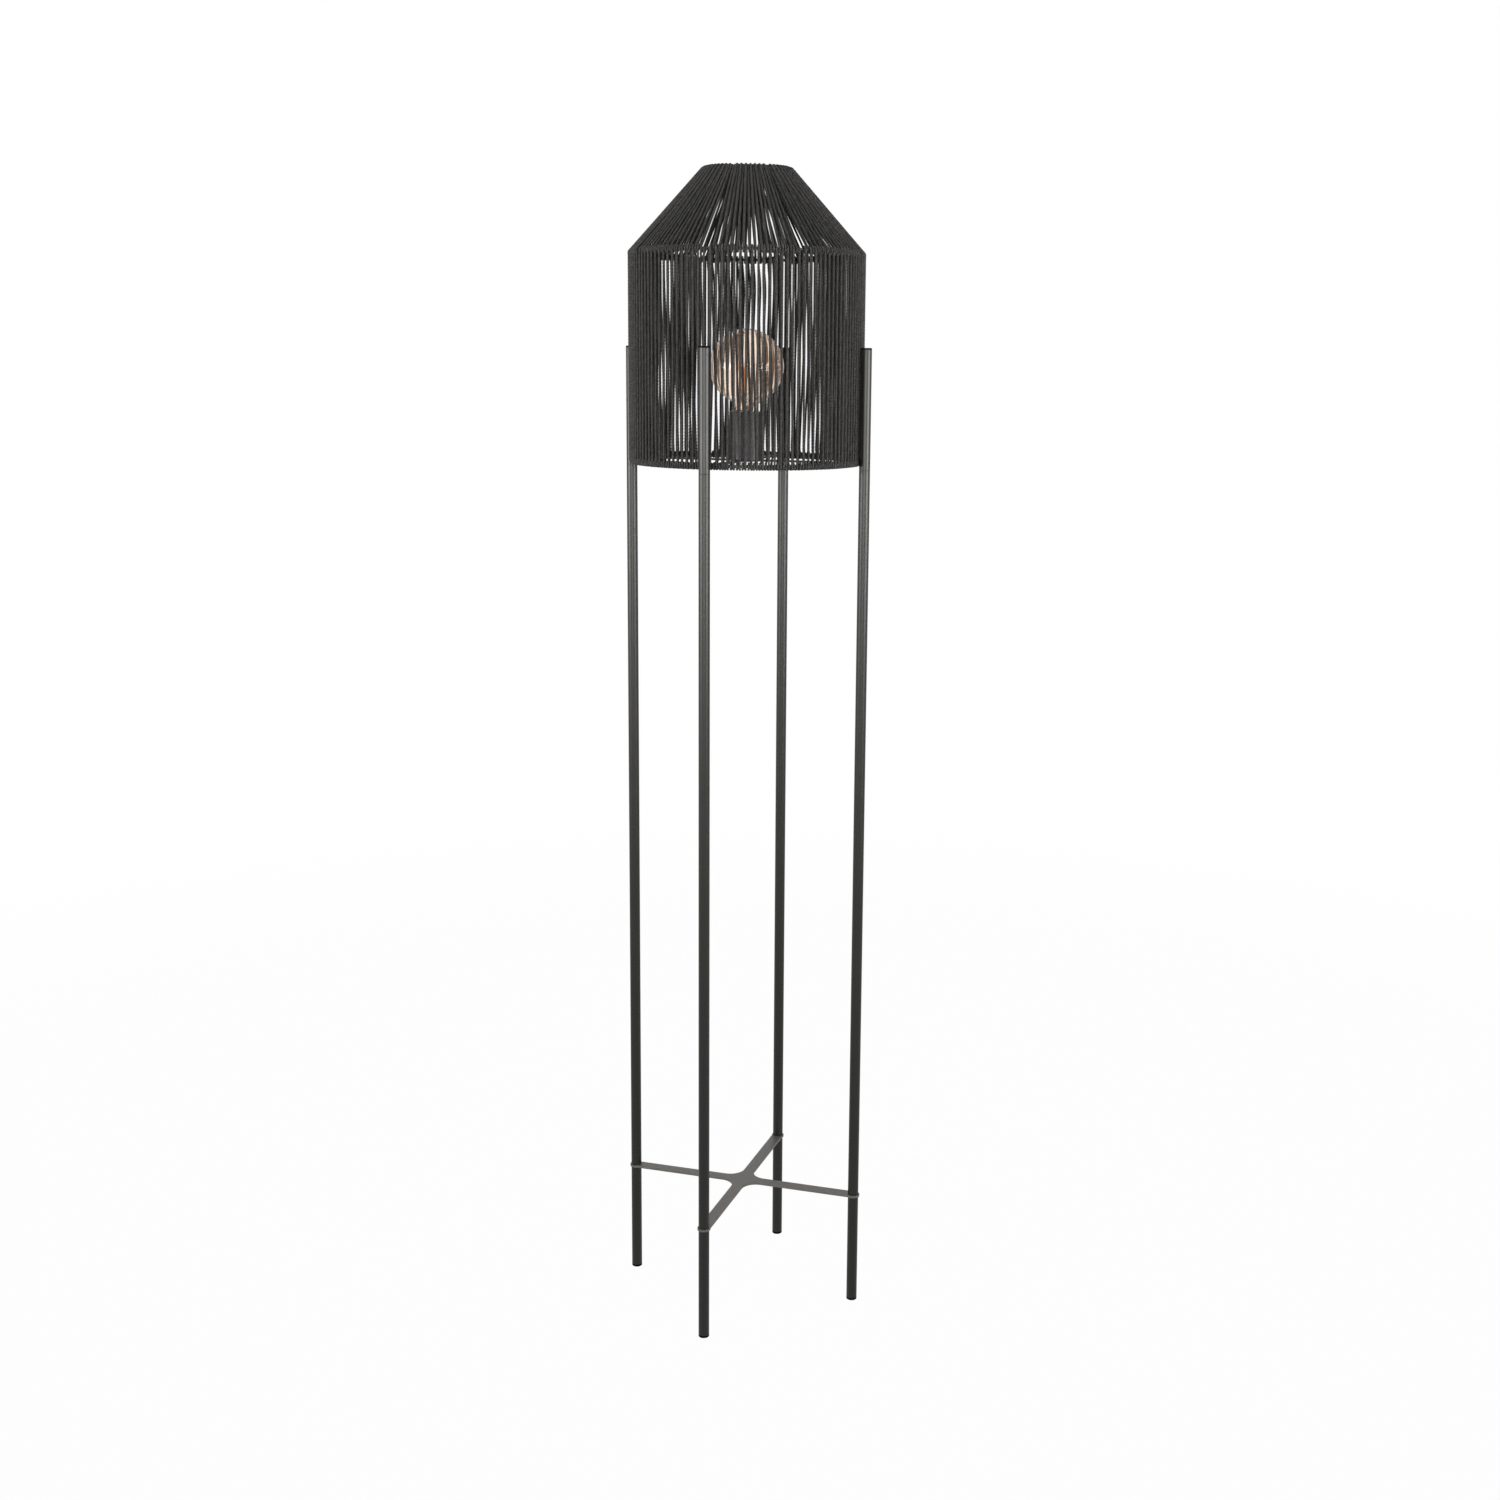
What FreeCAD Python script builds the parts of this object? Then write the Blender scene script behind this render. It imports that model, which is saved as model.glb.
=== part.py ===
import FreeCAD, Part
import math
import os
from FreeCAD import Vector

# A floor lamp: a wire cage shade strung with black cord, on four straight tube legs.
# Millimetres. The origin is on the floor under the shade's axis, +Z is up, and the legs
# stand on the X and Y axes.

# Driving dimensions of the stand
foot_length = 150.0
brace_thickness = 3.0
leg_tube_length = 487.0
post_length = 150.0
tube_d = 14.0
tube_wall = 1.0
foot_flange = 3.0
foot_stem = 14.0
cap_flange = 2.0
cap_stem = 9.0
brace_arm_width = 15.0
brace_end_r = 8.5
brace_hub_fillet = 20.0
post_gap = 0.5

# Screwed joints in the legs
stud_d = 8.0
stud_reach = 13.0
insert_length = 15.0
brace_hole_clearance = 0.2

# Driving dimensions of the shade
drum_r = 150.0
ring_wire_d = 4.0
rib_wire_d = 3.5
cord_d = 3.0
top_ring_r = 53.0
drum_rise = 257.0
cone_rise = 98.5
shade_lift = 4.0
bays = 8
drum_turns = 16
cone_turns = drum_turns - 1
cone_shift = 0.53
drum_rib_gap = 4.2
mouth_rib_gap = 3.9
longest_bend_share = 0.46
rib_bend_r = 6.0
post_pin_d = 4.0
post_pin_inset = 22.0

# Holder plate and lampholder
plate_thickness = 2.5
plate_disc_r = 20.0
plate_arm_width = 8.0
holder_r = 22.0
holder_wall = 2.0
base_height = 20.0
base_floor = 3.0
base_ledge = 12.5
base_ledge_width = 2.0
spigot_height = 6.0
sleeve_height = 40.5
sleeve_lip = 2.5
sleeve_mouth_r = 16.5
sleeve_rounding = 1.4
block_thickness = 12.0
liner_bore_r = 14.6
liner_wall = 3.1
shell_wall = 0.5
shell_height = 26.0
contact_thickness = 0.4
contact_width = 6.0
contact_rise = 2.9
terminal_screw_d = 3.0
terminal_screw_length = 8.0
terminal_offset = 9.0
nipple_d = 10.0
nipple_bore_d = 7.0
nipple_below = 6.0
nipple_above = 10.0
nut_across_flats = 14.0
nut_thickness = 4.0
bush_r = 6.5
bush_flange = 2.5
bush_stem = 4.0
bush_bore_d = 5.5

# Screw thread of the bulb: each level of it is a circle whose centre runs round a helix
thread_pitch = 3.629
thread_mean_r = 12.65
thread_half_depth = 0.55
thread_clearance = 0.2

# Bulb
globe_r = 47.5
glass_wall = 0.8
neck_r = 13.6
neck_fillet = 12.0
bulb_length = 137.0
tip_r = 5.0
tip_height = 2.4
insulator_height = 3.5
insulator_seat = 2.0
cap_wall = 0.4
cap_height = 21.4
stem_rod_r = 3.2
stem_rod_length = 34.0
stem_flare_height = 13.0
stem_flare_rim = 1.0
filament_d = 1.8
filament_length = 36.0
filament_count = 4
filament_foot_r = 5.0
filament_head_r = 11.0
lead_wire_d = 0.8

# Clearances
fit_clearance = 0.05
seat_gap = 0.1
wrap_clearance = 0.2
cut_margin = 1.0

# Heights and radii that follow from them
tube_r = tube_d / 2
bore_r = tube_r - tube_wall
leg_circle_r = drum_r + post_gap + tube_r
brace_z = foot_length
lower_tube_z = brace_z + brace_thickness
upper_tube_z = lower_tube_z + leg_tube_length
post_z = upper_tube_z + leg_tube_length
post_top_z = post_z + post_length
shade_bottom_z = post_z + shade_lift
ring_wire_r = ring_wire_d / 2
rib_wire_r = rib_wire_d / 2
cord_r = cord_d / 2
wrap_r = ring_wire_r + wrap_clearance + cord_r
wrap_outer_r = wrap_r + cord_r
piled_wrap_r = wrap_r + cord_d + seat_gap
frame_r = drum_r - wrap_outer_r
rib_offset = ring_wire_r + rib_wire_r + seat_gap
bottom_ring = (frame_r, shade_bottom_z + wrap_outer_r)
shoulder_ring = (frame_r, bottom_ring[1] + drum_rise)
top_ring = (top_ring_r, shoulder_ring[1] + cone_rise)
plate_z = bottom_ring[1] - plate_thickness / 2
holder_z = plate_z + plate_thickness
block_z = holder_z + base_ledge
block_top_z = block_z + block_thickness
sleeve_z = holder_z + base_height
sleeve_top_z = sleeve_z + sleeve_height
tip_z = block_top_z + contact_rise + seat_gap
insulator_z = tip_z + tip_height + seat_gap
cap_z = insulator_z + insulator_height
cap_top_z = cap_z + cap_height
glass_z = cap_top_z + seat_gap
globe_z = tip_z + bulb_length - globe_r
leg_angles = {"front": -90.0, "right": 0.0, "rear": 90.0, "left": 180.0}
bay_angle = 360.0 / bays

parts = {}


# Small helpers
def rod(radius, low, high, x=0.0, y=0.0):
    return Part.makeCylinder(radius, high - low, Vector(x, y, low))


def pipe(outer, inner, low, high, x=0.0, y=0.0):
    return rod(outer, low, high, x, y).cut(rod(inner, low - cut_margin, high + cut_margin, x, y))


def cross_rod(radius, start, end, height):
    """Cylinder along the X axis."""
    return Part.makeCylinder(radius, end - start, Vector(start, 0, height), Vector(1, 0, 0))


def turned(shape, angle):
    copy = shape.copy()
    copy.rotate(Vector(0, 0, 0), Vector(0, 0, 1), angle)
    return copy


def ring_of(shape, count):
    return Part.makeCompound([turned(shape, i * 360.0 / count) for i in range(count)])


def revolved(points):
    """Solid of revolution about Z from (radius, height) corners."""
    corners = [Vector(r, 0, z) for r, z in points]
    face = Part.Face(Part.makePolygon(corners + [corners[0]]))
    return face.revolve(Vector(0, 0, 0), Vector(0, 0, 1), 360)


def polar(point, angle):
    """A (radius, height) point of the shade, turned to an angle in radians."""
    radius, height = point
    return Vector(radius * math.cos(angle), radius * math.sin(angle), height)


def rounded_wire(points, radii):
    """Straight runs joined by tangent arcs: radii[i] rounds points[i + 1]."""
    edges = []
    start = points[0]
    for i, radius in enumerate(radii):
        corner = points[i + 1]
        back = (points[i] - corner).normalize()
        ahead = (points[i + 2] - corner).normalize()
        half = back.getAngle(ahead) / 2
        reach = radius / math.tan(half)
        middle = (back + ahead).normalize() * (radius / math.sin(half) - radius)
        first = corner + back * reach
        last = corner + ahead * reach
        edges.append(Part.LineSegment(start, first).toShape())
        edges.append(Part.Arc(first, corner + middle, last).toShape())
        start = last
    edges.append(Part.LineSegment(start, points[-1]).toShape())
    return Part.Wire(edges)


def wire_solid(path, radius):
    """A round wire or cord along a path."""
    start = path.Edges[0].firstVertex().Point
    direction = path.Edges[0].tangentAt(path.Edges[0].FirstParameter)
    profile = Part.Wire([Part.makeCircle(radius, start, direction)])
    return path.makePipeShell([profile], True, False)


# Legs: foot plug, foot tube, lower tube, upper tube, post and cap
def with_pin_holes(post):
    """The post's tube on the +X axis, with the holes of its two pins."""
    hole_r = post_pin_d / 2 + fit_clearance
    for z in pin_heights():
        post = post.cut(cross_rod(hole_r, drum_r, leg_circle_r, z))
    return post


def pin_heights():
    low = shade_bottom_z + post_pin_inset
    high = post_top_z - post_pin_inset
    return (low, high)


def make_leg(name, angle):
    x = leg_circle_r
    stem_r = bore_r - fit_clearance
    plug = rod(tube_r, 0, foot_flange, x).fuse(rod(stem_r, foot_flange, foot_flange + foot_stem, x))
    cap = rod(tube_r, post_top_z, post_top_z + cap_flange, x)
    cap = cap.fuse(rod(stem_r, post_top_z - cap_stem, post_top_z, x))
    pieces = {
        "foot_plug": plug.removeSplitter(),
        "foot_tube": pipe(tube_r, bore_r, foot_flange, brace_z, x),
        "lower_tube": pipe(tube_r, bore_r, lower_tube_z, upper_tube_z, x),
        "upper_tube": pipe(tube_r, bore_r, upper_tube_z, post_z, x),
        "post": with_pin_holes(pipe(tube_r, bore_r, post_z, post_top_z, x)),
        "post_cap": cap.removeSplitter(),
    }
    for piece, shape in pieces.items():
        parts[name + "_" + piece] = turned(shape, angle)


def make_screwed_joints():
    """Threaded inserts in the tube ends and the studs between them, for all four legs."""
    x = leg_circle_r
    stud_r = stud_d / 2
    inserts = []
    studs = []
    joints = ((brace_z, lower_tube_z), (upper_tube_z, upper_tube_z), (post_z, post_z))
    for low_face, high_face in joints:
        below = (low_face - insert_length, low_face)
        above = (high_face, high_face + insert_length)
        for low, high in (below, above):
            inserts.append(pipe(bore_r - fit_clearance, stud_r + fit_clearance, low, high, x))
        studs.append(rod(stud_r, low_face - stud_reach, high_face + stud_reach, x))
    parts["threaded_inserts"] = ring_of(Part.makeCompound(inserts), len(leg_angles))
    parts["connecting_studs"] = ring_of(Part.makeCompound(studs), len(leg_angles))


def make_brace():
    half = brace_arm_width / 2
    corner = Vector(-leg_circle_r, -half, brace_z)
    arm = Part.makeBox(2 * leg_circle_r, brace_arm_width, brace_thickness, corner)
    cross = arm.fuse(turned(arm, 90)).removeSplitter()
    inner_corners = [
        edge
        for edge in cross.Edges
        if abs(math.hypot(edge.CenterOfMass.x, edge.CenterOfMass.y) - half * math.sqrt(2)) < seat_gap
        and edge.Length < 2 * brace_thickness
        and abs(edge.tangentAt(edge.FirstParameter).z) > 0.5
    ]
    cross = cross.makeFillet(brace_hub_fillet, inner_corners)
    for angle in leg_angles.values():
        end = turned(rod(brace_end_r, brace_z, lower_tube_z, leg_circle_r), angle)
        cross = cross.fuse(end)
    cross = cross.removeSplitter()
    hole_r = stud_d / 2 + brace_hole_clearance
    hole = rod(hole_r, brace_z - cut_margin, lower_tube_z + cut_margin, leg_circle_r)
    for angle in leg_angles.values():
        cross = cross.cut(turned(hole, angle))
    parts["leg_brace"] = cross


# Shade frame: three rings, eight ribs and the pins that hold the posts
def slope(low, high, low_out=0.0, high_out=0.0):
    """Angle above the horizontal of the outward normal of a strand between two rings.

    The strand passes so far outside the middle of each ring's wire, or inside if negative."""
    rise = high[1] - low[1]
    run = low[0] - high[0]
    length = math.hypot(rise, run)
    return math.atan2(run, rise) + math.asin((low_out - high_out) / length)


def beside(ring, normal_angle, distance, along=0.0):
    """Point at a distance from a ring's wire, along a strand's normal and its direction."""
    r = ring[0] + distance * math.cos(normal_angle) - along * math.sin(normal_angle)
    z = ring[1] + distance * math.sin(normal_angle) + along * math.cos(normal_angle)
    return (r, z)


def rib_path():
    cone_slope = slope(shoulder_ring, top_ring)
    cut_back = rib_bend_r * (1 / math.cos(cone_slope / 2) - 1)
    foot = beside(bottom_ring, 0, -rib_offset, -ring_wire_r)
    bend = beside(shoulder_ring, cone_slope / 2, -(rib_offset - cut_back))
    head = beside(top_ring, cone_slope, -rib_offset, ring_wire_r)
    return foot, bend, head


def make_frame():
    rings = {"bottom_ring": bottom_ring, "shoulder_ring": shoulder_ring, "top_ring": top_ring}
    for name, (radius, height) in rings.items():
        parts[name] = Part.makeTorus(radius, ring_wire_r, Vector(0, 0, height))
    path = rounded_wire([polar(point, 0) for point in rib_path()], [rib_bend_r])
    parts["frame_ribs"] = ring_of(wire_solid(path, rib_wire_r), bays)


def make_post_pins():
    foot, bend, _ = rib_path()
    pins = []
    for z in pin_heights():
        rib_r = foot[0] + (bend[0] - foot[0]) * (z - foot[1]) / (bend[1] - foot[1])
        start = rib_r + rib_wire_r + seat_gap
        pins.append(cross_rod(post_pin_d / 2, start, leg_circle_r - bore_r, z))
    parts["post_pins"] = ring_of(Part.makeCompound(pins), len(leg_angles))


# Winding: in each bay one cord is wound round the bottom and the shoulder ring, and another
# round the shoulder and the top ring. Every turn rises outside the wires and comes down
# inside them, where it moves on to the next turn's place. At the shoulder the turns of the
# cone lie between those of the drum. At the mouth there isn't room for all of them side by
# side, so every second turn lies on top of its neighbours.
def strand_angle(radius, rib_gap, turns, index):
    edge = rib_gap / radius
    step = (math.radians(bay_angle) - 2 * edge) / (turns - 1)
    return edge + index * step


def drum_angle(index):
    return strand_angle(frame_r + wrap_r, drum_rib_gap, drum_turns, index)


def mouth_angle(index):
    return strand_angle(top_ring_r, mouth_rib_gap, cone_turns, index)


def strand(low, high, side, high_wrap):
    """Lower and upper corner of a strand: side is 1 outside the rings' wires, -1 inside."""
    normal = slope(low, high, side * wrap_r, side * high_wrap)
    foot = beside(low, normal, side * wrap_r, -wrap_r)
    head = beside(high, normal, side * high_wrap, high_wrap)
    return foot, head


def wound_path(low, high, turns, low_angle, high_angle, high_wraps):
    """Corners of all the turns, rounded. The cord's two ends stop beside the rings' wires."""
    points = []
    for i in range(turns):
        high_wrap = high_wraps[i % len(high_wraps)]
        foot, head = strand(low, high, 1, high_wrap)
        points += [polar(foot, low_angle(i)), polar(head, high_angle(i))]
        if i < turns - 1:
            foot, head = strand(low, high, -1, high_wrap)
            points += [polar(head, high_angle(i)), polar(foot, low_angle(i + 1))]
    points[0] += (points[1] - points[0]).normalize() * wrap_r
    points[-1] += (points[-2] - points[-1]).normalize() * high_wrap
    radii = []
    for i in range(1, len(points) - 1):
        shortest = min((points[i] - points[i - 1]).Length, (points[i + 1] - points[i]).Length)
        radii.append(longest_bend_share * shortest)
    print("winding: %d turns, bends from %.2f to %.2f mm" % (turns, min(radii), max(radii)))
    return rounded_wire(points, radii)


def least_gaps(paths, diameter):
    """Least gap of each cord to itself, apart from neighbouring stretches, then to another."""
    step = 0.5
    apart = 3 * diameter / step
    cell = 2 * diameter
    grid = {}
    for number, path in enumerate(paths):
        for i, point in enumerate(path.discretize(Distance=step)):
            key = (int(point.x // cell), int(point.y // cell), int(point.z // cell))
            grid.setdefault(key, []).append((number, i, point))
    nearest = [cell] * (len(paths) + 1)
    for (kx, ky, kz), members in grid.items():
        around = []
        for dx in (-1, 0, 1):
            for dy in (-1, 0, 1):
                for dz in (-1, 0, 1):
                    around += grid.get((kx + dx, ky + dy, kz + dz), [])
        for number, i, point in members:
            for other, j, near in around:
                if other > number:
                    nearest[-1] = min(nearest[-1], point.distanceToPoint(near))
                elif other == number and j - i > apart:
                    nearest[number] = min(nearest[number], point.distanceToPoint(near))
    return [distance - diameter for distance in nearest]


def make_winding():
    section = math.pi * cord_r ** 2
    drum = wound_path(bottom_ring, shoulder_ring, drum_turns, drum_angle, drum_angle, [wrap_r])
    cone = wound_path(
        shoulder_ring,
        top_ring,
        cone_turns,
        lambda index: drum_angle(index + cone_shift),
        mouth_angle,
        [wrap_r, piled_wrap_r],
    )
    cords = []
    for path in (drum, cone):
        cord = wire_solid(path, cord_r)
        print("winding: cord of %.0f mm" % path.Length)
        print("winding: volume over section times length %.5f" % (cord.Volume / (section * path.Length)))
        cords.append(cord)
    drum_gap, cone_gap, mutual_gap = least_gaps([drum, cone], cord_d)
    print("winding: least gap of the drum's cord to itself %.2f mm" % drum_gap)
    print("winding: least gap of the cone's cord to itself %.2f mm" % cone_gap)
    print("winding: least gap between the two cords %.2f mm" % mutual_gap)
    for i in range(bays):
        parts["winding_%d" % (i + 1)] = turned(Part.makeCompound(cords), i * bay_angle)


# Holder plate, nipple, nuts and inlet bush
def make_holder_plate():
    half = plate_arm_width / 2
    arm_r = rib_path()[0][0] - rib_wire_r - seat_gap
    arm = Part.makeBox(2 * arm_r, plate_arm_width, plate_thickness, Vector(-arm_r, -half, plate_z))
    plate = arm.fuse(turned(arm, 90)).fuse(rod(plate_disc_r, plate_z, holder_z)).removeSplitter()
    parts["holder_plate"] = plate.cut(nipple_hole(plate_z, holder_z))


def nipple_hole(low, high):
    return rod(nipple_d / 2 + fit_clearance, low - cut_margin, high + cut_margin)


def hex_nut(low):
    across_corners = nut_across_flats / math.cos(math.pi / 6)
    corners = []
    for i in range(7):
        corners.append(polar((across_corners / 2, low), i * math.pi / 3))
    body = Part.Face(Part.makePolygon(corners)).extrude(Vector(0, 0, nut_thickness))
    return body.cut(nipple_hole(low, low + nut_thickness))


def make_nipple():
    low = plate_z - nipple_below
    high = holder_z + nipple_above
    bore = nipple_bore_d / 2
    parts["threaded_nipple"] = pipe(nipple_d / 2, bore, low, high)
    nuts = [hex_nut(plate_z - nut_thickness), hex_nut(holder_z + base_floor)]
    parts["nipple_nuts"] = Part.makeCompound(nuts)
    foot = low - bush_flange
    head = low + bush_stem
    bush = rod(bush_r, foot, low).fuse(rod(bore - fit_clearance, low, head)).removeSplitter()
    parts["inlet_bush"] = bush.cut(rod(bush_bore_d / 2, foot - cut_margin, head + cut_margin))


# Lampholder
def make_lampholder():
    inner = holder_r - holder_wall
    seat_r = inner - base_ledge_width
    spigot_r = inner - fit_clearance
    top = sleeve_z + spigot_height
    base = rod(holder_r, holder_z, sleeve_z).fuse(rod(spigot_r, sleeve_z, top)).removeSplitter()
    base = base.cut(rod(seat_r - base_ledge_width, holder_z + base_floor, block_z))
    base = base.cut(rod(seat_r, block_z, top + cut_margin))
    parts["holder_base"] = base.cut(nipple_hole(holder_z, holder_z + base_floor))

    sleeve = rod(holder_r, sleeve_z, sleeve_top_z)
    rim = [edge for edge in sleeve.Edges if edge.BoundBox.ZMin > sleeve_top_z - seat_gap]
    sleeve = sleeve.makeFillet(sleeve_rounding, rim)
    sleeve = sleeve.cut(rod(inner, sleeve_z - cut_margin, sleeve_top_z - sleeve_lip))
    parts["holder_sleeve"] = sleeve.cut(rod(sleeve_mouth_r, sleeve_z, sleeve_top_z + cut_margin))

    block = rod(seat_r - fit_clearance, block_z, block_top_z)
    screws = []
    for x in (-terminal_offset, terminal_offset):
        screw_r = terminal_screw_d / 2
        head = rod(2 * screw_r, block_z - screw_r, block_z, x)
        screw_top = block_z + terminal_screw_length
        shank = rod(screw_r, block_z, screw_top, x)
        screws.append(head.fuse(shank).removeSplitter())
        block = block.cut(rod(screw_r + fit_clearance, block_z - cut_margin, screw_top + cut_margin, x))
    parts["contact_block"] = block
    parts["terminal_screws"] = Part.makeCompound(screws)
    liner_r = liner_bore_r + liner_wall
    liner_top = sleeve_top_z - sleeve_lip - seat_gap
    parts["holder_liner"] = pipe(liner_r, liner_bore_r, block_top_z, liner_top)
    inner_thread = thread_mean_r + thread_clearance
    parts["threaded_shell"] = threaded_tube(
        inner_thread, inner_thread + shell_wall, block_top_z, block_top_z + shell_height
    )
    parts["centre_contact"] = make_centre_contact()


def make_centre_contact():
    """A bent spring leaf on the block, whose crest carries the bulb's tip."""
    rise = contact_rise
    thick = contact_thickness
    foot = -terminal_offset
    bend = foot / 2
    crest = tip_r / 2
    lower = [(foot, 0), (bend, 0), (-crest, rise - thick), (crest, rise - thick)]
    upper = [(crest, rise), (-crest - thick / 2, rise), (bend - thick / 2, thick), (foot, thick)]
    corners = [Vector(x, -contact_width / 2, block_top_z + z) for x, z in lower + upper]
    return Part.Face(Part.makePolygon(corners + [corners[0]])).extrude(Vector(0, contact_width, 0))


# Screw threads
def threaded_rod(mean_r, low, high):
    """A circle swept along a helix without turning: every level is that circle, moved."""
    spine = Part.makeHelix(thread_pitch, high - low, thread_half_depth)
    profile = Part.Wire([Part.makeCircle(mean_r, Vector(thread_half_depth, 0, 0), Vector(0, 0, 1))])
    sweep = Part.BRepOffsetAPI.MakePipeShell(spine)
    sweep.setTrihedronMode(Vector(0, 0, 0), Vector(0, 0, 1))
    sweep.add(profile)
    sweep.build()
    sweep.makeSolid()
    screw = sweep.shape()
    screw.translate(Vector(0, 0, low))
    return turned(screw, 360.0 * low / thread_pitch)


def threaded_tube(inner_mean_r, outer_mean_r, low, high):
    """Thin threaded wall between two such sweeps, closed by a flat ring at each end."""
    outer = threaded_rod(outer_mean_r, low, high)
    inner = threaded_rod(inner_mean_r, low, high)
    walls = [face for face in outer.Faces if not is_flat(face)]
    walls += [face.reversed() for face in inner.Faces if not is_flat(face)]
    ends = []
    for level in (low, high):
        disc = end_disc(outer, level)
        ends.append(disc.cut(end_disc(inner, level)).Faces[0])
    shell = Part.makeShell(walls + ends)
    shell.sewShape()
    return Part.makeSolid(shell)


def is_flat(face):
    return face.BoundBox.ZLength < seat_gap


def end_disc(screw, level):
    ends = [face for face in screw.Faces if is_flat(face)]
    nearest = min(ends, key=lambda face: abs(face.CenterOfMass.z - level))
    return Part.Face(nearest.OuterWire)


# Bulb
def globe_solid(radius, neck, bottom):
    """Sphere that runs into a neck through a hollow fillet."""
    fillet_x = neck + neck_fillet
    drop = math.sqrt((radius + neck_fillet) ** 2 - fillet_x ** 2)
    fillet_z = globe_z - drop
    share = radius / (radius + neck_fillet)
    join = Vector(fillet_x * share, 0, globe_z - drop * share)
    turn = math.atan2(drop, -fillet_x)
    halfway = (turn + math.pi) / 2
    middle_x = fillet_x + neck_fillet * math.cos(halfway)
    middle = Vector(middle_x, 0, fillet_z + neck_fillet * math.sin(halfway))
    top = Vector(0, 0, globe_z + radius)
    neck_top = Vector(neck, 0, fillet_z)
    neck_foot = Vector(neck, 0, bottom)
    foot = Vector(0, 0, bottom)
    edges = [
        Part.Arc(top, Vector(radius, 0, globe_z), join).toShape(),
        Part.Arc(join, middle, neck_top).toShape(),
        Part.LineSegment(neck_top, neck_foot).toShape(),
        Part.LineSegment(neck_foot, foot).toShape(),
        Part.LineSegment(foot, top).toShape(),
    ]
    return Part.Face(Part.Wire(edges)).revolve(Vector(0, 0, 0), Vector(0, 0, 1), 360)


def make_bulb():
    outer = globe_solid(globe_r, neck_r, glass_z)
    inner = globe_solid(globe_r - glass_wall, neck_r - glass_wall, glass_z - cut_margin)
    parts["bulb_glass"] = outer.cut(inner)

    cap_inner = thread_mean_r - cap_wall
    parts["bulb_cap"] = threaded_tube(cap_inner, thread_mean_r, cap_z, cap_top_z)
    plug_r = cap_inner - thread_half_depth - seat_gap
    plug_z = cap_z + insulator_seat
    side = [(tip_r, insulator_z), (plug_r, cap_z), (plug_r, plug_z)]
    parts["bulb_insulator"] = revolved([(0, insulator_z)] + side + [(0, plug_z)])
    chamfer = tip_height / 3
    tip_top = tip_z + tip_height
    side = [(tip_r - chamfer, tip_z), (tip_r, tip_z + chamfer), (tip_r, tip_top)]
    parts["bulb_tip"] = revolved([(0, tip_z)] + side + [(0, tip_top)])
    flare_r = neck_r - glass_wall - seat_gap
    flare_top = glass_z + stem_flare_height
    stem_top = flare_top + stem_rod_length
    side = [(flare_r, glass_z), (flare_r, glass_z + stem_flare_rim)]
    side += [(stem_rod_r, flare_top), (stem_rod_r, stem_top)]
    parts["bulb_stem"] = revolved([(0, glass_z)] + side + [(0, stem_top)])
    make_filaments(stem_top)


def make_filaments(stem_top):
    """Straight filaments between a lower and an upper ring of wire, on two lead wires."""
    wire_r = lead_wire_d / 2
    lean = math.asin((filament_head_r - filament_foot_r) / filament_length)
    low = stem_top - filament_length / 2
    high = low + filament_length * math.cos(lean)
    foot = Vector(filament_foot_r, 0, low)
    head = Vector(filament_head_r, 0, high)
    filament = Part.makeCylinder(filament_d / 2, filament_length, foot, head - foot)
    parts["bulb_filaments"] = ring_of(filament, filament_count)
    ring_gap = filament_d / 2 * math.sin(lean) + wire_r + seat_gap
    lower_z = low - ring_gap
    upper_z = high + ring_gap
    lower = Part.makeTorus(filament_foot_r, wire_r, Vector(0, 0, lower_z))
    upper = Part.makeTorus(filament_head_r, wire_r, Vector(0, 0, upper_z))
    between = 180.0 / filament_count
    spoke = turned(cross_rod(wire_r, stem_rod_r + seat_gap, filament_foot_r, lower_z), between)
    lower = lower.fuse(ring_of(spoke, filament_count).Solids).removeSplitter()
    mast = rod(wire_r, stem_top + seat_gap, upper_z)
    spoke = turned(cross_rod(wire_r, -filament_head_r, filament_head_r, upper_z), between)
    upper = upper.fuse([mast, spoke]).removeSplitter()
    parts["filament_wires"] = Part.makeCompound([lower, upper])


def main():
    for name, angle in leg_angles.items():
        make_leg(name, angle)
    make_screwed_joints()
    make_brace()
    make_frame()
    make_post_pins()
    make_winding()
    make_holder_plate()
    make_nipple()
    make_lampholder()
    make_bulb()
    os.makedirs("parts", exist_ok=True)
    for name, shape in parts.items():
        print("%-20s solids %2d  valid %s" % (name, len(shape.Solids), shape.isValid()))
        shape.exportStep("parts/%s.step" % name)
    print("%d nodes, top at %.1f mm" % (len(parts), top_ring[1] + piled_wrap_r + cord_r))


main()
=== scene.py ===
# %% [markdown]
# # A floor lamp with a corded cage shade
#
# Four slim tubes carry a drum that turns into a cone. Both are a frame of welded wire, wound
# with black cord in two layers, and a large amber globe stands in the middle. The
# construction is already modelled at its real size. This lesson gives every piece its
# finish: it remodels what shows with round edges and true surface detail, and writes each
# finish as shader nodes.
#
# Loading comes first.

# %% Load the lamp
import math
import random

import bmesh
import bpy
from mathutils import Matrix, Vector


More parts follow.
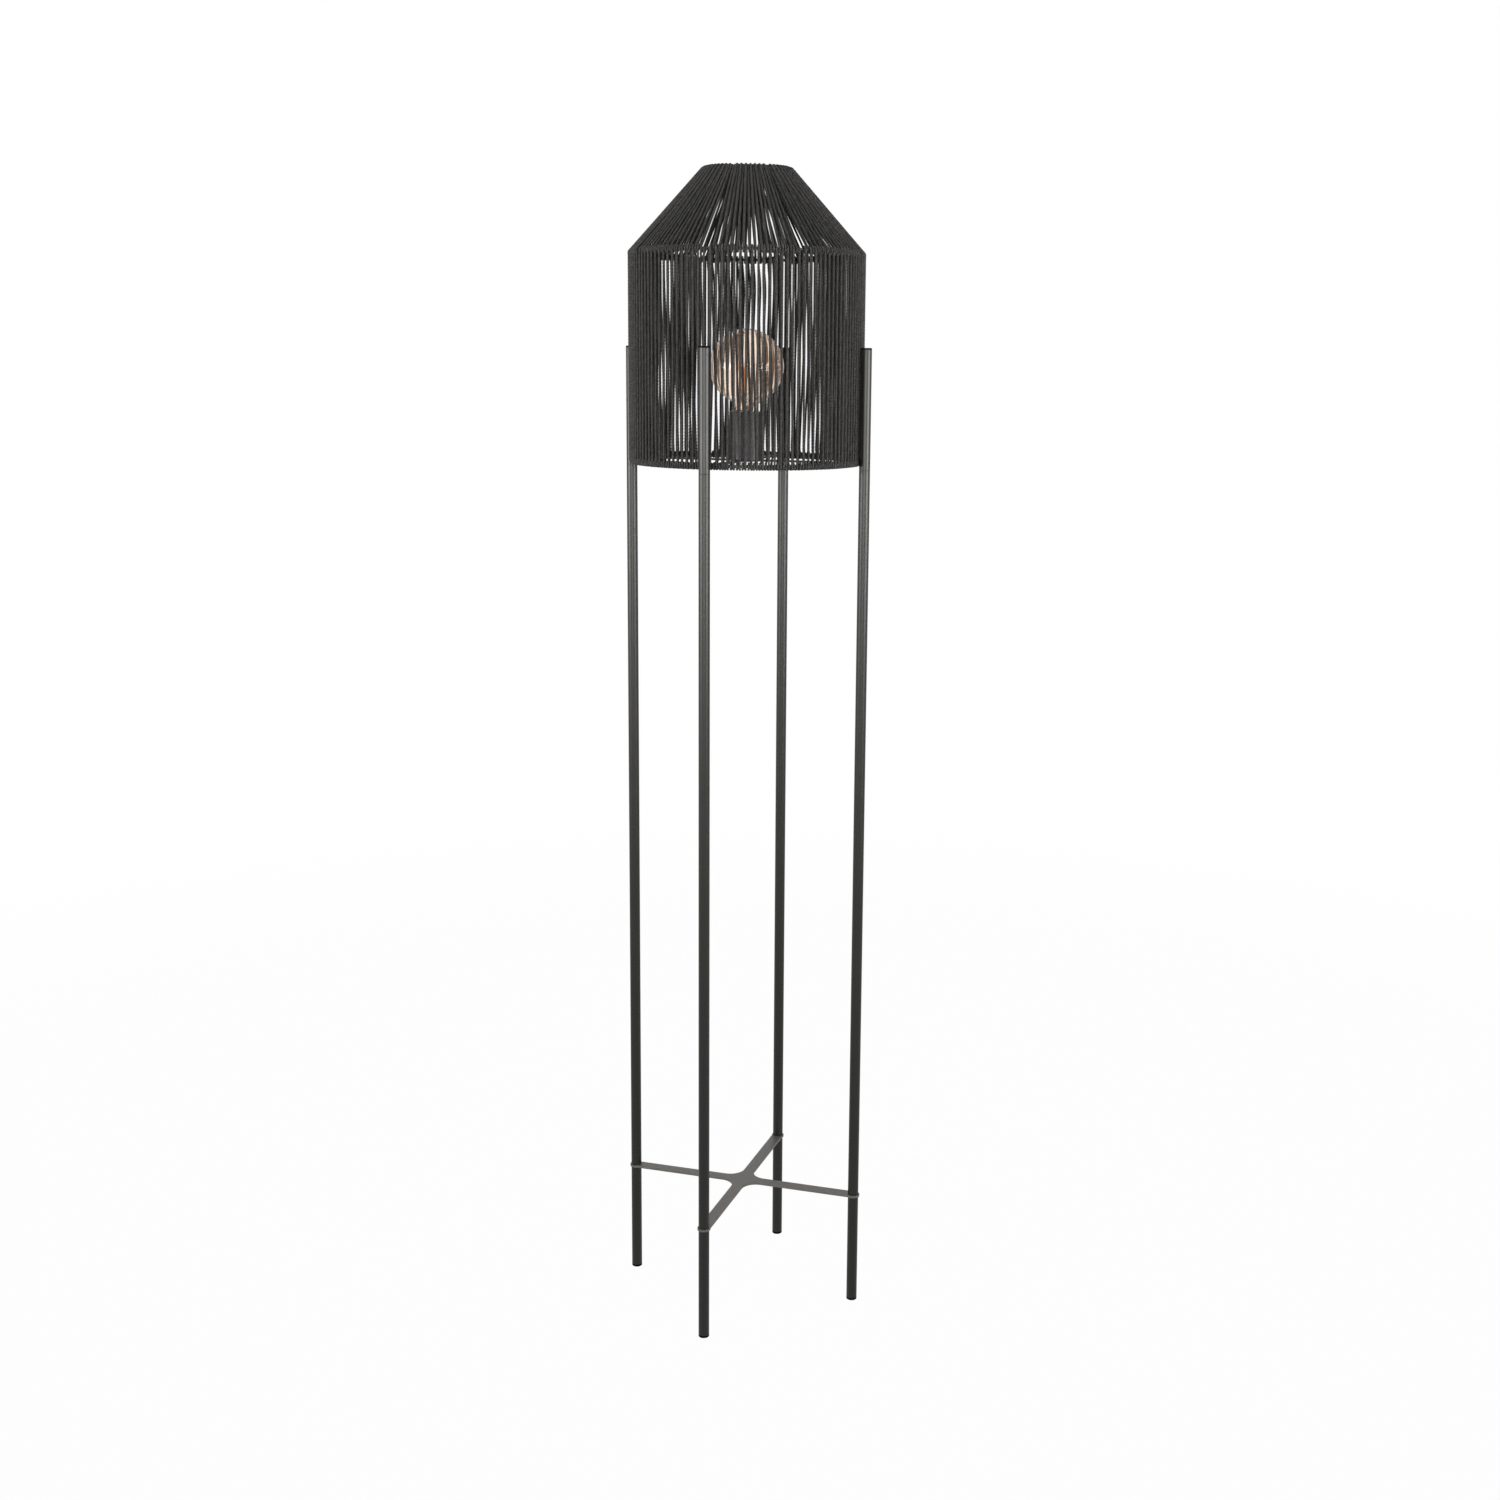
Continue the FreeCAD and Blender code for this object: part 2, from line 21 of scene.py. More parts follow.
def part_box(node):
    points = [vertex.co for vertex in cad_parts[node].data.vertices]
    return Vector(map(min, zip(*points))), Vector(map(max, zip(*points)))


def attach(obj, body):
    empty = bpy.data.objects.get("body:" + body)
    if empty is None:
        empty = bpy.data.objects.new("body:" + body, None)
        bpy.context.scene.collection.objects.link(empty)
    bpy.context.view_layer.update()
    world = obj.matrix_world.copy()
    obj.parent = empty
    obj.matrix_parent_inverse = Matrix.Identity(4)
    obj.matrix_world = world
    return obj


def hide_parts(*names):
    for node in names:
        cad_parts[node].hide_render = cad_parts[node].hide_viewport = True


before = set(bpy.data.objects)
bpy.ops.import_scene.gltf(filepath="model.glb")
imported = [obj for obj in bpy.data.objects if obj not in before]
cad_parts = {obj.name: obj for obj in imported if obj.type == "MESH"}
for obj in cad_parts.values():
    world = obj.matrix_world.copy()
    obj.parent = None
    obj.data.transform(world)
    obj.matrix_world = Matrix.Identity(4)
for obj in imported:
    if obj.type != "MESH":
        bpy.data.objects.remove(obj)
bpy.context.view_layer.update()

mm = 0.001
scene = bpy.context.scene
print("pieces of the construction:", len(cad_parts))

# %% [markdown]
# The camera stands where the photograph was taken from. Its place in metres, its angles in
# radians and its focal length in pixels were worked out from the rings, the legs and the
# feet. The optical axis doesn't go through the middle of the picture, and a small shift of
# the lens gives that without turning the camera.

# %% Camera
image_size = 1500
focal_px = 1897.0
axis_px = (811.8, 707.4)
camera_place = Vector((0.78574, -2.32380, 1.27190))
camera_yaw = 0.2903
camera_pitch = -0.1846
camera_roll = -0.0111
sensor_width = 36.0

lens = bpy.data.cameras.new("camera")
lens.sensor_width = sensor_width
lens.lens = focal_px * sensor_width / image_size
lens.shift_x = (image_size / 2 - axis_px[0]) / image_size
lens.shift_y = (axis_px[1] - image_size / 2) / image_size
camera = bpy.data.objects.new("camera", lens)
scene.collection.objects.link(camera)
turned = Matrix.Rotation(camera_yaw, 4, "Z")
tipped = Matrix.Rotation(math.pi / 2 + camera_pitch, 4, "X")
rolled = Matrix.Rotation(-camera_roll, 4, "Z")
camera.matrix_world = Matrix.Translation(camera_place) @ turned @ tipped @ rolled
scene.camera = camera
print("focal length %.1f mm, shift %.3f %.3f" % (lens.lens, lens.shift_x, lens.shift_y))

# %% [markdown]
# A material in Blender is a small network of nodes. Written by hand, even a simple sum takes
# several lines, so three small classes keep the finishes readable. `Value` wraps the output
# of a node that carries a number, so that plain Python arithmetic adds the Math nodes.
# `Network` adds any node to a material or to the world, and `Finish` is one material.

# %% Shader arithmetic
class Value:
    def __init__(self, network, socket):
        self.network = network
        self.socket = socket

    def math(self, operation, first, second):
        node = self.network.add("ShaderNodeMath", {0: first, 1: second}, operation=operation)
        return Value(self.network, node.outputs[0])

    def __add__(self, other):
        return self.math("ADD", self, other)

    def __sub__(self, other):
        return self.math("SUBTRACT", self, other)

    def __rsub__(self, other):
        return self.math("SUBTRACT", other, self)

    def __mul__(self, other):
        return self.math("MULTIPLY", self, other)

    __radd__ = __add__
    __rmul__ = __mul__

    def sharpened(self, low, high):
        """0 below low, 1 above high, and smooth between."""
        ends = {"Value": self, "From Min": low, "From Max": high}
        node = self.network.add("ShaderNodeMapRange", ends, interpolation_type="SMOOTHSTEP")
        return Value(self.network, node.outputs["Result"])


class Network:
    """The nodes of a material or of the world."""

    def __init__(self, owner):
        owner.use_nodes = True
        self.nodes = owner.node_tree.nodes
        self.links = owner.node_tree.links
        self.nodes.clear()

    def add(self, kind, sockets=None, **settings):
        """Any node: its settings first, then the values or links that its sockets take."""
        node = self.nodes.new(kind)
        for name, setting in settings.items():
            setattr(node, name, setting)
        for key, given in (sockets or {}).items():
            socket = node.inputs[key]
            if isinstance(given, Value):
                given = given.socket
            if isinstance(given, bpy.types.NodeSocket):
                self.links.new(given, socket)
            else:
                socket.default_value = given
        return node


print("shader arithmetic ready")

# %% Finishes
finish_ending = "_finish"
mix_share, mix_first, mix_second = 0, 6, 7
mix_result = 2


class Finish(Network):
    """One material, with the ending _finish on its name."""

    def __init__(self, name):
        self.material = bpy.data.materials.new(name + finish_ending)
        super().__init__(self.material)

    def shell(self, settings):
        """The surface itself: a Principled shader on the material's output."""
        shader = self.add("ShaderNodeBsdfPrincipled", settings)
        self.add("ShaderNodeOutputMaterial", {"Surface": shader.outputs[0]})
        return self.material

    def place(self, scale=(1, 1, 1), attribute=None):
        """Where on the piece a pattern lies: its own coordinates, stretched by a scale."""
        if attribute:
            start = self.add("ShaderNodeAttribute", attribute_name=attribute).outputs["Vector"]
        else:
            start = self.add("ShaderNodeTexCoord").outputs["Object"]
        return self.add("ShaderNodeMapping", {"Vector": start, "Scale": scale}).outputs[0]

    def noise(self, scale, detail=2.0, roughness=0.5, attribute=None):
        """A noise, as fine as its scale, which can be another one along each axis."""
        scales = scale if isinstance(scale, tuple) else (scale,) * 3
        place = self.place(scales, attribute)
        sockets = {"Vector": place, "Scale": 1.0, "Detail": detail, "Roughness": roughness}
        return Value(self, self.add("ShaderNodeTexNoise", sockets).outputs["Fac"])

    def blend(self, share, first, second):
        """A colour between two others. The colour sockets of a Mix node go by number."""
        sockets = {mix_share: share, mix_first: first, mix_second: second}
        return self.add("ShaderNodeMix", sockets, data_type="RGBA").outputs[mix_result]

    def relief(self, height, depth, strength):
        """Surface relief: depth is in metres from the lowest to the highest place."""
        sockets = {"Height": height, "Distance": depth, "Strength": strength}
        return self.add("ShaderNodeBump", sockets).outputs["Normal"]


def grey(level, warmth=0.0):
    """A linear grey, slightly warm or cool."""
    return (level * (1 + warmth), level, level * (1 - warmth), 1.0)


print("finishes ready")

# %% [markdown]
# The studio is a pale floor that runs on into a white background. Lamps bright enough to
# make that as white as the photograph's would wash out the black cord. So the white is given
# only to the rays that go straight to the camera, through glass or by way of a gloss. Near
# the lamp the floor keeps a little of its lit surface, and so a trace of the feet's shadows.

# %% Floor
floor_reach = 30.0
floor_height = -0.0005
floor_level = 0.82
floor_lift = 0.985
floor_gloss = 0.6
lit_floor_radius = 1.6


def straight_rays(network, gloss_share=1.0):
    """1 for rays that go straight to the camera or through glass, less for a gloss."""
    path = network.add("ShaderNodeLightPath")
    shown = Value(network, path.outputs["Is Camera Ray"])
    shown = shown + gloss_share * Value(network, path.outputs["Is Glossy Ray"])
    shown = shown + Value(network, path.outputs["Is Transmission Ray"])
    clamped = network.add("ShaderNodeClamp", {"Value": shown})
    return Value(network, clamped.outputs["Result"])


bpy.ops.object.select_all(action="DESELECT")
bpy.ops.mesh.primitive_plane_add(size=floor_reach, location=(0, 0, floor_height))
floor = bpy.context.object
floor.name = "studio_floor"
bpy.ops.object.transform_apply(location=True, rotation=False, scale=False)

pale = Finish("studio_floor")
distance = pale.add("ShaderNodeVectorMath", {0: pale.place()}, operation="LENGTH")
far = Value(pale, distance.outputs["Value"]).sharpened(lit_floor_radius, 2 * lit_floor_radius)
lit = pale.add("ShaderNodeBsdfDiffuse", {"Color": grey(floor_level)}).outputs[0]
white = pale.add("ShaderNodeEmission", {"Color": grey(1.0), "Strength": 1.0}).outputs[0]
white_share = straight_rays(pale, floor_gloss) * (floor_lift + (1.0 - floor_lift) * far)
shown_floor = pale.add("ShaderNodeMixShader", {0: white_share, 1: lit, 2: white}).outputs[0]
pale.add("ShaderNodeOutputMaterial", {"Surface": shown_floor})
floor.data.materials.append(pale.material)
print("floor of %.0f m, lit out to %.1f m" % (floor_reach, lit_floor_radius))

# %% [markdown]
# The world is white too where it shows. The light that it throws on the lamp comes from low
# round the horizon and fades upwards, so it reaches strands and legs from their sides and
# leaves what looks up dark.

# %% World
horizon_level = 0.80
overhead_level = 0.02
overhead_rise = 0.32

scene.world = bpy.data.worlds.new("studio")
sky = Network(scene.world)
way = sky.add("ShaderNodeTexCoord").outputs["Generated"]
rise = sky.add("ShaderNodeSeparateXYZ", {0: way}).outputs["Z"]
range_ends = {"From Max": overhead_rise, "To Min": horizon_level, "To Max": overhead_level}
level = sky.add("ShaderNodeMapRange", {"Value": rise, **range_ends}).outputs["Result"]
soft = sky.add("ShaderNodeBackground", {"Color": grey(1.0), "Strength": level}).outputs[0]
seen = sky.add("ShaderNodeBackground", {"Color": grey(1.0), "Strength": 1.0}).outputs[0]
both = sky.add("ShaderNodeMixShader", {0: straight_rays(sky), 1: soft, 2: seen}).outputs[0]
sky.add("ShaderNodeOutputWorld", {"Surface": both})
print("light from the horizon:", horizon_level)

# %% [markdown]
# Three large softboxes stand as high as the shade, to the right, near the camera and to the
# left. A grid on each keeps its light within an angle, so that the floor gets little of it.

# %% Softboxes
shade_middle = Vector((0, 0, 1.30))
softbox_width = 2.0
softbox_height = 0.9
softbox_spread = math.radians(60)
softbox_places = {
    "soft_right": Vector((2.50, -0.67, 1.18)),
    "soft_front": Vector((0.75, -2.80, 1.18)),
    "soft_left": Vector((-1.85, -1.85, 1.18)),
}
softbox_watts = {"soft_right": 8.0, "soft_front": 5.0, "soft_left": 7.5}

for name, place in softbox_places.items():
    light = bpy.data.lights.new(name, "AREA")
    light.shape = "RECTANGLE"
    light.size = softbox_width
    light.size_y = softbox_height
    light.spread = softbox_spread
    light.energy = softbox_watts[name]
    lamp = bpy.data.objects.new(name, light)
    scene.collection.objects.link(lamp)
    lamp.location = place
    lamp.rotation_euler = (shade_middle - place).to_track_quat("-Z", "Y").to_euler()
scene.view_settings.view_transform = "Standard"
print("softboxes:", softbox_watts)

# %% [markdown]
# The legs are powder coated: a charcoal coat with a satin shine and the faint orange-peel relief that
# baked powder always has. The relief is a fine noise of a few hundredths of a millimetre, and the
# shine varies a little with it. The cross brace has the same kind of coat, but its grey is painted
# lighter, which paints in the bright reflection of the surroundings on its upward faces. The gloss is
# tinted slightly warm, and more so on the brace, which paints in the warm colour of the light.

# %% Powder coats
peel_scale = 900.0
peel_depth = 0.06 * mm
cloud_scale = 14.0
# the warm tints of the gloss paint in the warm colour of the light
plain_gloss = (1.0, 0.985, 0.945, 1.0)
warm_gloss = (1.0, 0.955, 0.89, 1.0)


def powder_coat(name, level, warmth, roughness, shine, tint=plain_gloss):
    coat = Finish(name)
    peel = coat.noise(peel_scale, detail=3.0, roughness=0.55)
    cloud = coat.noise(cloud_scale)
    darker = grey(level * 0.9, warmth)
    lighter = grey(level * 1.12, warmth)
    settings = {
        "Base Color": coat.blend(cloud, darker, lighter),
        "Roughness": roughness + 0.10 * (cloud - 0.5) + 0.08 * (peel - 0.5),
        "Specular IOR Level": shine,
        "Specular Tint": tint,
        "Normal": coat.relief(peel, peel_depth, strength=0.5),
    }
    return coat.shell(settings)


leg_metal = powder_coat("leg_metal", level=0.009, warmth=0.02, roughness=0.35, shine=0.52)
# the brace's lighter grey is painted light: a lit copy of the charcoal coat, for the reflection on
# its upward faces
brace_metal = powder_coat(
    "brace_metal", level=0.26, warmth=0.06, roughness=0.46, shine=0.72, tint=warm_gloss
)
frame_wire = powder_coat("frame_wire", level=0.022, warmth=0.0, roughness=0.48, shine=0.35)
print("powder coats:", leg_metal.name, brace_metal.name, frame_wire.name)

# %% [markdown]
# The plastic and ceramic pieces are moulded or glazed. Foot plugs, post caps and the inlet
# bush are a matt black plastic with a fine spark-eroded grain and hardly any shine. The
# lampholder is a smoother black moulding. The pieces inside it are white glazed ceramic: a
# clear coat over hardly any relief.

# %% Mouldings
grain_scale = 1600.0
shading_scale = 35.0
glaze_roughness = 0.12


def moulding(name, level, roughness, grain_depth, glaze=0.0, shine=0.5):
    plastic = Finish(name)
    grain = plastic.noise(grain_scale, roughness=0.6)
    cloud = plastic.noise(shading_scale)
    darker = grey(level * 0.92)
    lighter = grey(level * 1.08, warmth=0.02)
    settings = {
        "Base Color": plastic.blend(cloud, darker, lighter),
        "Roughness": roughness + 0.08 * (cloud - 0.5),
        "Specular IOR Level": shine,
        "Coat Weight": glaze,
        "Coat Roughness": glaze_roughness,
        "Normal": plastic.relief(grain, grain_depth, strength=0.6),
    }
    return plastic.shell(settings)


foot_plastic = moulding(
    "foot_plastic", level=0.005, roughness=0.75, grain_depth=0.05 * mm, shine=0.06
)
holder_shell = moulding("holder_shell", level=0.020, roughness=0.38, grain_depth=0.02 * mm)
ceramic = moulding("ceramic", level=0.70, roughness=0.22, grain_depth=0.01 * mm, glaze=0.6)
print("mouldings:", foot_plastic.name, holder_shell.name, ceramic.name)

# %% [markdown]
# Plated steel, brass and the bulb's nickel-plated cap are bare metals. On small turned parts
# the tool leaves fine rings round the axis, so their noise is squeezed along the height: it
# changes quickly up and down and hardly at all around.

# %% Bare metals
tool_ring_scale = (60, 60, 2600)
tarnish_scale = 90.0
tarnished = 0.72


def drawn_metal(name, colour, roughness, line_depth):
    metal = Finish(name)
    lines = metal.noise(tool_ring_scale, detail=3.0, roughness=0.6)
    tarnish = metal.noise(tarnish_scale, detail=3.0)
    bright = colour + (1.0,)
    dull = tuple(channel * tarnished for channel in colour) + (1.0,)
    settings = {
        "Base Color": metal.blend(tarnish.sharpened(0.35, 0.75), bright, dull),
        "Metallic": 1.0,
        "Roughness": roughness + 0.16 * (tarnish - 0.5) + 0.08 * (lines - 0.5),
        "Normal": metal.relief(lines, line_depth, strength=0.5),
    }
    return metal.shell(settings)


zinc_steel = drawn_metal("zinc_steel", (0.62, 0.63, 0.64), roughness=0.34, line_depth=0.02 * mm)
contact_brass = drawn_metal("contact_brass", (0.78, 0.58, 0.27), roughness=0.26, line_depth=0.01 * mm)
cap_metal = drawn_metal("cap_metal", (0.74, 0.72, 0.69), roughness=0.24, line_depth=0.01 * mm)
print("metals:", zinc_steel.name, contact_brass.name, cap_metal.name)

# %% [markdown]
# The globe is clear glass with an amber tint, so the strands behind it show through, browned. The
# tint goes on the colour of the glass, which light takes each time that it passes a wall. The globe
# is never quite black: a very weak amber emission paints a glow into the glass, which stands for the
# light that its surfaces scatter and reflect. The stem inside is plain clear glass, and the filaments
# have a yellow coating that looks orange behind the amber.

# %% Glass
glass_bending = 1.5
wave_scale = 55.0
amber_tint = (0.97, 0.895, 0.82, 1.0)
# a faint amber glow painted into the glass, for the light that it scatters and reflects
amber_painted_glow = (0.0210, 0.0090, 0.0025, 1.0)
clear_tint = (0.93, 0.95, 0.93, 1.0)
no_painted_glow = (0, 0, 0, 1)


def clear_glass_finish(name, colour, roughness, ripple, painted_glow=no_painted_glow):
    glass = Finish(name)
    waves = glass.noise(wave_scale, detail=1.0)
    settings = {
        "Base Color": colour,
        "Roughness": roughness,
        "IOR": glass_bending,
        "Transmission Weight": 1.0,
        # emission that paints the glow into the glass
        "Emission Color": painted_glow,
        "Emission Strength": 1.0,
        "Normal": glass.relief(waves, ripple, strength=0.4),
    }
    return glass.shell(settings)


amber_glass = clear_glass_finish(
    "amber_glass", amber_tint, roughness=0.0, ripple=0.05 * mm, painted_glow=amber_painted_glow
)
clear_glass = clear_glass_finish("clear_glass", clear_tint, roughness=0.02, ripple=0.03 * mm)
print("glass:", amber_glass.name, clear_glass.name)

# %% Filaments and the glass bead of the cap
coating_yellow = (0.95, 0.36, 0.06, 1.0)
coating_orange = (0.80, 0.22, 0.03, 1.0)
bead_violet = (0.02, 0.016, 0.03, 1.0)

coating = Finish("filament")
grains = coating.noise(2200.0)
filament_coat = coating.shell({
    "Base Color": coating.blend(grains, coating_yellow, coating_orange),
    "Roughness": 0.55,
    "Normal": coating.relief(grains, 0.05 * mm, strength=0.5),
})

bead = Finish("cap_insulator")
swirl = bead.noise(120.0)
cap_insulator = bead.shell({
    "Base Color": bead.blend(swirl, grey(0.012), bead_violet),
    "Roughness": 0.12,
})
print("filaments and bead:", filament_coat.name, cap_insulator.name)

# %% [markdown]
# The cord is a twist of three plies of black fibre. Its twist will be real geometry, so the finish
# only adds what is finer than that: fibres that run along the cord, faded stretches, a mottle, pale
# flecks painted as glints where single fibres catch the light, and the dull velvety look of fibre
# seen edge on, which is the sheen. The pattern has to follow the cord round every bend. So it doesn't
# read the place in space but an attribute, `straight`, that keeps where each point was before the
# cord was bent.

# %% Cord finish
fibre_scale = (2600, 2600, 260)
fading_scale = (40, 40, 14)
mottle_scale = (320, 320, 230)
# size of the pale flecks painted as glints of single fibres
painted_glint_scale = (900, 900, 420)
fibre_relief = 0.25 * mm


def cord_finish(name):
    cord = Finish(name)
    fibres = cord.noise(fibre_scale, detail=3.0, roughness=0.65, attribute="straight")
    fading = cord.noise(fading_scale, detail=3.0, attribute="straight")
    mottle = cord.noise(mottle_scale, roughness=0.6, attribute="straight")
    painted_glints = cord.noise(painted_glint_scale, roughness=0.7, attribute="straight")
    body = cord.blend(fading, grey(0.014, 0.03), grey(0.036, 0.05))
    body = cord.blend(mottle.sharpened(0.42, 0.66) * 0.6, body, grey(0.076, 0.05))
    body = cord.blend(fibres.sharpened(0.35, 0.80) * 0.6, body, grey(0.078, 0.05))
    # pale flecks painted as glints where single fibres catch the light
    body = cord.blend(painted_glints.sharpened(0.60, 0.74) * 0.6, body, grey(0.20, 0.07))
    settings = {
        "Base Color": body,
        "Roughness": 0.86 - 0.14 * fibres,
        "Specular IOR Level": 0.25,
        "Sheen Weight": 0.13,
        "Sheen Roughness": 0.5,
        "Normal": cord.relief(fibres, fibre_relief, strength=0.8),
    }
    return cord.shell(settings)


shade_cord = cord_finish("shade_cord")
print("cord:", shade_cord.name)

# %% [markdown]
# Now the modelling. Each new piece starts as a primitive at its true size, and is shaped in
# edit mode as by hand. Three habits make that safe in a script: all is deselected before
# anything is added, vertices are picked by where they are, and a finished piece has its
# place in its mesh while its object stays at the origin.

# %% Selecting, placing and copying
sharp_angle = math.radians(30)
doubles_gap = 0.001 * mm


def deselect():
    bpy.ops.object.select_all(action="DESELECT")


def hold(piece):
    """Make this piece the only one selected, and the active one."""
    deselect()
    piece.select_set(True)
    bpy.context.view_layer.objects.active = piece


def settle_in_place():
    bpy.ops.object.transform_apply(location=True, rotation=True, scale=True)


def named(piece, name):
    piece.name = name
    piece.data.name = name
    return piece


def about_z(degrees):
    return Matrix.Rotation(math.radians(degrees), 4, "Z")


def moved_copy(piece, name, matrix):
    """A copy with its own mesh, placed by a matrix."""
    copy = piece.copy()
    copy.data = piece.data.copy()
    scene.collection.objects.link(copy)
    copy.data.transform(matrix)
    return named(copy, name)


def joined(name, pieces):
    """Several loose parts made one piece."""
    hold(pieces[0])
    for piece in pieces:
        piece.select_set(True)
    bpy.ops.object.join()
    return named(bpy.context.object, name)


print("sharp edges are those over %.0f degrees" % math.degrees(sharp_angle))

# %% Turning and rounding
def turned_piece(name, profile, sides, bored=False, capped=True):
    """A piece as from a lathe: a circle is extruded and resized from one (radius, height)
    of the profile to the next. A bored piece has a hole, so its profile closes on itself."""
    deselect()
    radius, height = profile[0]
    bpy.ops.mesh.primitive_circle_add(vertices=sides, radius=radius, location=(0, 0, height))
    piece = bpy.context.object
    settle_in_place()
    bpy.ops.object.mode_set(mode="EDIT")
    bpy.ops.mesh.select_all(action="SELECT")
    stations = list(profile[1:])
    if bored:
        stations.append(profile[0])
    for next_radius, next_height in stations:
        rise = {"value": (0, 0, next_height - height)}
        bpy.ops.mesh.extrude_region_move(TRANSFORM_OT_translate=rise)
        share = next_radius / radius
        middle = (0, 0, next_height)
        bpy.ops.transform.resize(value=(share, share, 1), center_override=middle)
        radius = next_radius
        height = next_height
    bpy.ops.mesh.select_all(action="SELECT")
    bpy.ops.mesh.remove_doubles(threshold=doubles_gap)
    if capped and not bored:
        bpy.ops.mesh.fill_holes(sides=0)
    bpy.ops.mesh.select_all(action="SELECT")
    bpy.ops.mesh.normals_make_consistent(inside=False)
    bpy.ops.object.mode_set(mode="OBJECT")
    return named(piece, name)


def bevel_edges(piece, width, segments=2, angle=sharp_angle):
    """Round every sharp edge. The large faces keep their normals, so that the rounding
    shades only itself and not the whole length of a tube."""
    hold(piece)
    bevel = piece.modifiers.new("edges", "BEVEL")
    bevel.width = width
    bevel.segments = segments
    bevel.limit_method = "ANGLE"
    bevel.angle_limit = angle
    bpy.ops.object.modifier_apply(modifier=bevel.name)
    bpy.ops.object.shade_smooth_by_angle(angle=angle)
    level = piece.modifiers.new("level", "WEIGHTED_NORMAL")
    level.keep_sharp = True
    bpy.ops.object.modifier_apply(modifier=level.name)
    return piece


print("lathe and bevel ready")

# %% Handing a piece over
def finish_piece(piece, material, body, *nodes):
    """Give a piece its finish and its body, and hide the nodes that it stands for."""
    piece.data.materials.clear()
    piece.data.materials.append(material)
    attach(piece, body)
    if nodes:
        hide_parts(*nodes)


def dress(material, *nodes):
    """Pieces of the construction whose shape is right keep it, and get a better finish."""
    for node in nodes:
        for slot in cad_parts[node].material_slots:
            slot.material = material


print("modelling helpers ready")

# %% [markdown]
# A leg is four tubes stacked with their ends face to face: a foot below the brace, two long
# tubes, and the post beside the shade. Each was cut and deburred before it was coated, so
# its ends are slightly rounded, and a fine line shows at each joint. A tube is turned once
# from its two radii and its two heights, bevelled, and copied round to all four legs.

# %% Legs
leg_turns = {"right": 0, "rear": 90, "left": 180, "front": 270}
tube_sides = 48
tube_wall = 1.0 * mm
tube_edge = 0.35 * mm

tube_low, tube_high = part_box("right_lower_tube")
leg_circle = (tube_low.x + tube_high.x) / 2
tube_radius = (tube_high.x - tube_low.x) / 2


def on_each_leg(piece, part, material):
    """Copies of a piece of the right leg on all four legs."""
    piece.data.transform(Matrix.Translation((leg_circle, 0, 0)))
    for side, degrees in leg_turns.items():
        node = "%s_%s" % (side, part)
        copy = moved_copy(piece, node + "_finished", about_z(degrees))
        finish_piece(copy, material, "root", node)
    bpy.data.objects.remove(piece)


for part in ("foot_tube", "lower_tube", "upper_tube", "post"):
    low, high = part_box("right_" + part)
    bore = tube_radius - tube_wall
    profile = [(tube_radius, low.z), (tube_radius, high.z), (bore, high.z), (bore, low.z)]
    tube = turned_piece(part, profile, tube_sides, bored=True)
    on_each_leg(bevel_edges(tube, tube_edge), part, leg_metal)
    print("%s from %.0f to %.0f mm" % (part, low.z / mm, high.z / mm))

# %% [markdown]
# Foot plugs and post caps are pushed into the tubes. The plug's sole is rounded so that it
# doesn't mark the floor, and so is the cap's rim. Both are turned from a short profile: a
# stem inside the tube, a flange on its end, and a rounded rim.

# %% Foot plugs and post caps
stem_play = 0.05 * mm
stem_radius = tube_radius - tube_wall - stem_play
plug_edge = 0.12 * mm
rim_steps = 5


def close_tubes(part, stem_tip, outer_end, flange, rounding):
    """Plugs, turned from the tip of the stem to the rounded face, which looks up or down."""
    sign = 1 if outer_end > stem_tip else -1
    shoulder = outer_end - sign * flange
    profile = [(stem_radius, stem_tip), (stem_radius, shoulder), (tube_radius, shoulder)]
    for step in range(rim_steps + 1):
        swing = step / rim_steps * math.pi / 2
        radius = tube_radius - rounding + rounding * math.cos(swing)
        height = outer_end - sign * rounding + sign * rounding * math.sin(swing)
        profile.append((radius, height))
    plug = turned_piece(part, profile, tube_sides)
    on_each_leg(bevel_edges(plug, plug_edge), part, foot_plastic)
    print("%s: outer end at %.1f mm" % (part, outer_end / mm))


plug_low, plug_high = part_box("right_foot_plug")
close_tubes("foot_plug", plug_high.z, plug_low.z, flange=3 * mm, rounding=1.0 * mm)
cap_low, cap_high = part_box("right_post_cap")
close_tubes("post_cap", cap_low.z, cap_high.z, flange=2 * mm, rounding=1.2 * mm)

# %% [markdown]
# The brace is one flat cross, cut from sheet and clamped between the feet and the long
# tubes. Its outline, with the filleted hub and the round ends, is right in the construction,
# so its mesh is copied, its loose triangles are merged, and the flat faces are joined up
# again. Only then can a bevel round the cut edges, which catch the light.

# %% Brace
triangle_gap = 0.002 * mm
flat_angle = math.radians(1)
brace_edge = 0.4 * mm


def soften(node, width, material, body="root", segments=2):
    """A node makes way for a copy of it, cleaned up and with its sharp edges rounded."""
    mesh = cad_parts[node].data.copy()
    piece = named(bpy.data.objects.new("piece", mesh), node + "_finished")
    scene.collection.objects.link(piece)
    hold(piece)
    bpy.ops.object.mode_set(mode="EDIT")
    bpy.ops.mesh.select_all(action="SELECT")
    bpy.ops.mesh.remove_doubles(threshold=triangle_gap)
    bpy.ops.mesh.customdata_custom_splitnormals_clear()
    bpy.ops.mesh.dissolve_limited(angle_limit=flat_angle)
    bpy.ops.object.mode_set(mode="OBJECT")
    finish_piece(bevel_edges(piece, width, segments), material, body, node)


soften("leg_brace", brace_edge, brace_metal)

# %% [markdown]
# The shade's frame is three rings and eight bent ribs, all of black coated wire. A ring is a
# torus, but a real one is a straight wire bent round and butt welded, so each gets the small
# swelling of its weld. The sizes of the rings are read from the construction.

